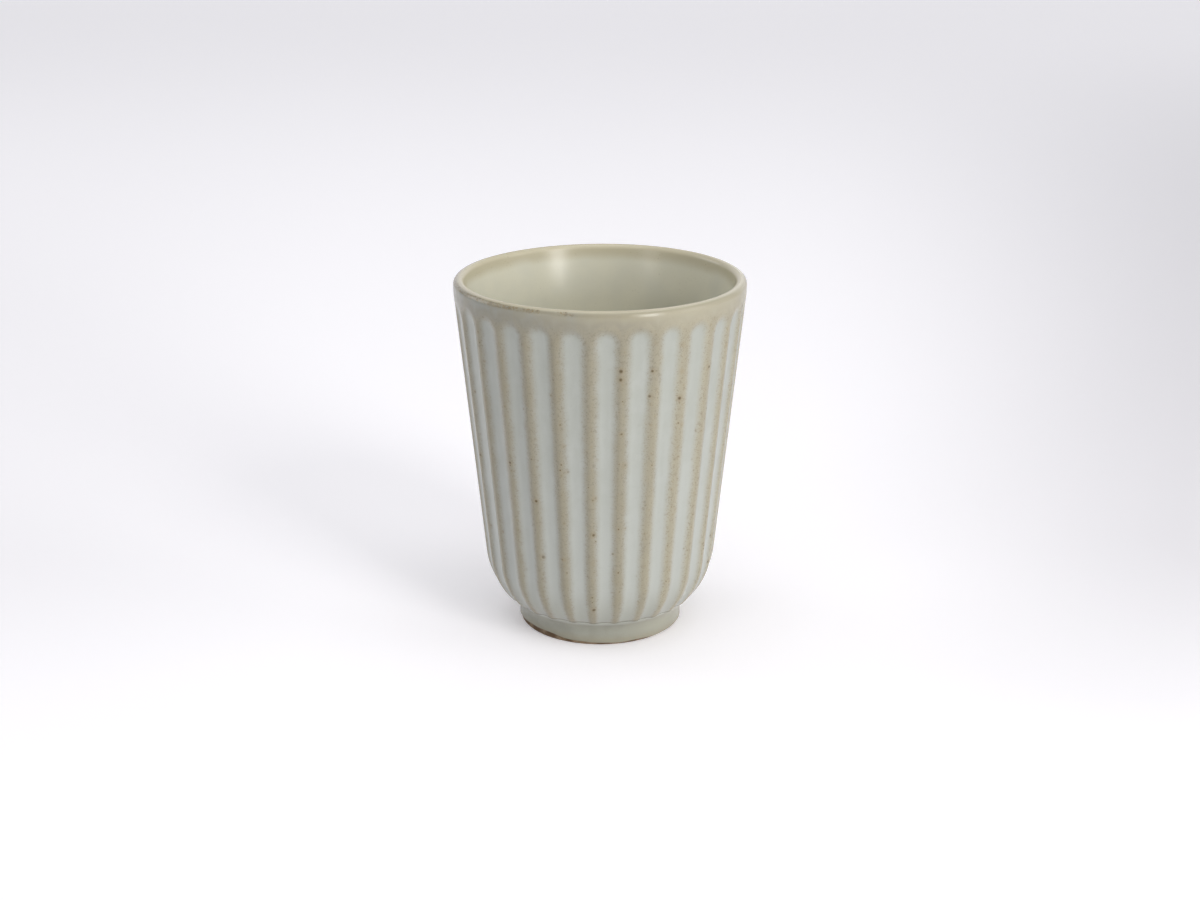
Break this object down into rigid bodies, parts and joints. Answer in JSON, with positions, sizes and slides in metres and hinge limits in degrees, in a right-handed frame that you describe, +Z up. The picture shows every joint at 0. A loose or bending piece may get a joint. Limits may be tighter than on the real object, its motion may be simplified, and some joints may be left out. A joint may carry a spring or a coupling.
{
  "type": "fluted tea cup",
  "caption": "Handleless stoneware tea cup with a fluted outside, a plain rounded lip and a small foot ring, in a satin glaze that is tan on the ridges and pale blue-grey in the flutes.",
  "frame": {"origin": "on the table plane, on the cup's axis, under the middle of the foot ring", "axes": "+Z up along the cup's axis; the cup is round, and a ridge lies on each of +X, -X, +Y and -Y"},
  "size_m": [0.075, 0.075, 0.0938],
  "materials": {
    "stoneware": "fired buff stoneware, hidden under the glaze",
    "bare_clay": "bare fired stoneware, matte and toasted brown where it meets the table",
    "outer_glaze": "satin glaze, tan and speckled where thin on ridges and lip, pale blue-grey where pooled in the flutes",
    "inner_glaze": "smooth satin glaze, warm olive-grey",
    "base_glaze": "satin glaze, grey-green, in the foot well"
  },
  "bodies": {
    "root": {"stoneware_body": "stoneware", "foot_ring": "bare_clay", "outer_glaze": "outer_glaze", "inner_glaze": "inner_glaze", "base_glaze": "base_glaze"}
  },
  "joints": []
}
